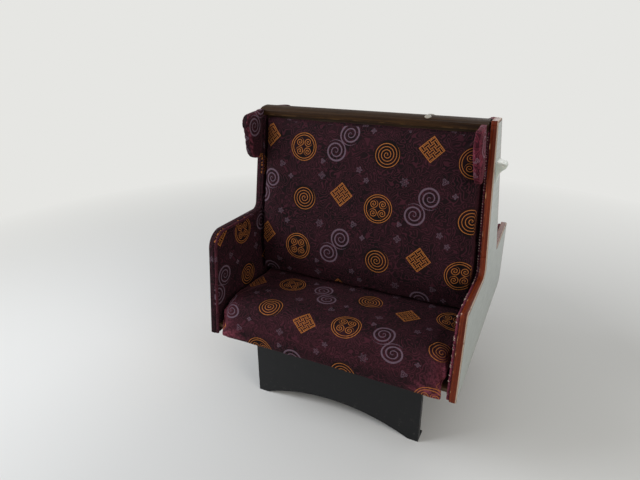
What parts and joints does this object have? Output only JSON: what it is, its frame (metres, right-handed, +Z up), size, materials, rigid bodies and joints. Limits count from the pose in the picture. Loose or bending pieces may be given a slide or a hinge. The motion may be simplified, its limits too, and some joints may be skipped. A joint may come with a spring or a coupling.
{
  "type": "railway coach back-to-back double seat",
  "caption": "Back-to-back bench seats for a railway coach, with head wings, a white laminate aisle end edged in wood with armrests and a grab handle, a wood top rail and a steel stand.",
  "frame": {"origin": "on the floor, under the middle of the seat", "axes": "+X towards the aisle, +Y along the coach, +Z up; seat a faces -Y, seat b faces +Y"},
  "size_m": [0.9936, 0.976, 1.1675],
  "materials": {
    "white_laminate": "satin laminate, pale grey green white",
    "varnished_wood": "red brown, gloss varnish",
    "rail_wood": "dark brown, satin varnish",
    "plywood": "bare, matte",
    "moquette": "dark red purple cut pile, woven pattern",
    "lining_moquette": "dark cut pile, sewn edge",
    "black_steel": "black, satin",
    "white_plastic": "white, gloss"
  },
  "bodies": {
    "root": {"end_panel_aisle": "white_laminate", "end_panel_window": "plywood", "grab_handle": "white_plastic", "top_rail": "rail_wood", "side_tube_aisle": "black_steel", "side_tube_window": "black_steel", "cross_tube": "black_steel", "back_post_aisle": "black_steel", "back_post_middle": "black_steel", "back_post_window": "black_steel", "edging_top": "varnished_wood", "lining_aisle_a": "lining_moquette", "lining_aisle_b": "lining_moquette", "lining_window_a": "lining_moquette", "lining_window_b": "lining_moquette", "wing_aisle_a": "moquette", "wing_aisle_b": "moquette", "wing_window_a": "moquette", "wing_window_b": "moquette", "back_cushion_a": "moquette", "back_cushion_b": "moquette", "back_board_a": "plywood", "back_board_b": "plywood", "seat_cushion_a": "moquette", "seat_cushion_b": "moquette", "seat_board_a": "plywood", "seat_board_b": "plywood", "number_stud_a": "white_plastic", "number_stud_b": "white_plastic", "front_tube_a": "black_steel", "front_tube_b": "black_steel", "stand_plate_a": "black_steel", "stand_plate_b": "black_steel", "wall_bracket_a": "black_steel", "wall_bracket_b": "black_steel", "edging_upright_a": "varnished_wood", "edging_upright_b": "varnished_wood", "edging_arm_a": "varnished_wood", "edging_arm_b": "varnished_wood", "edging_front_a": "varnished_wood", "edging_front_b": "varnished_wood"}
  },
  "joints": []
}
